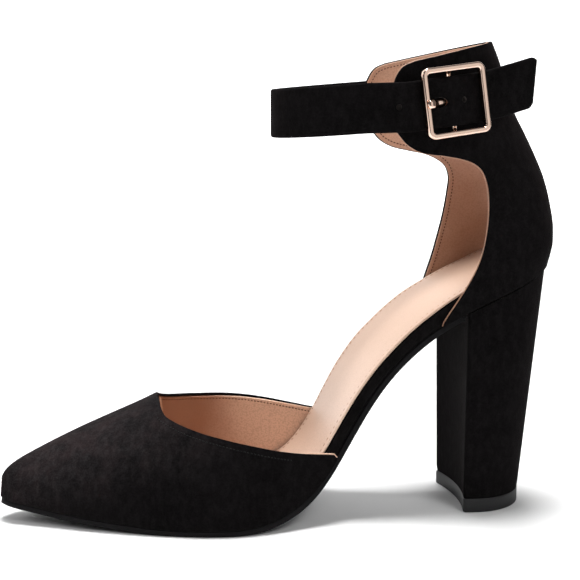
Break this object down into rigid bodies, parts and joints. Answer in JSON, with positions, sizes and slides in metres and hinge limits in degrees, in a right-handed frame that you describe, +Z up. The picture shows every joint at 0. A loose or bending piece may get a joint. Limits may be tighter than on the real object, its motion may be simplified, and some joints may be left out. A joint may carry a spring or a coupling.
{
  "type": "ankle strap pump",
  "caption": "Left ankle strap pump with a closed pointed vamp, open waist, closed counter rising to an ankle cuff, buckled ankle strap and high block heel.",
  "frame": {"origin": "on the floor, under the middle of the bounding box", "axes": "+Z up, toe towards -X and heel towards +X, lateral (outer) side of this left shoe towards -Y"},
  "size_m": [0.2226, 0.0736, 0.1873],
  "materials": {
    "suede": "soft black suede with a fine nap, tan lining inside",
    "sock_leather": "smooth peach leather",
    "sole_rubber": "dark grey, satin",
    "lift_rubber": "dark grey, satin",
    "buckle_metal": "polished rose gold plating"
  },
  "bodies": {
    "root": {"outsole": "sole_rubber", "footbed": "suede", "sock": "sock_leather", "vamp": "suede", "quarter": "suede", "heel": "suede", "top_lift": "lift_rubber", "ankle_strap": "suede", "buckle_frame": "buckle_metal", "buckle_prong": "buckle_metal", "buckle_tab": "suede"}
  },
  "joints": []
}
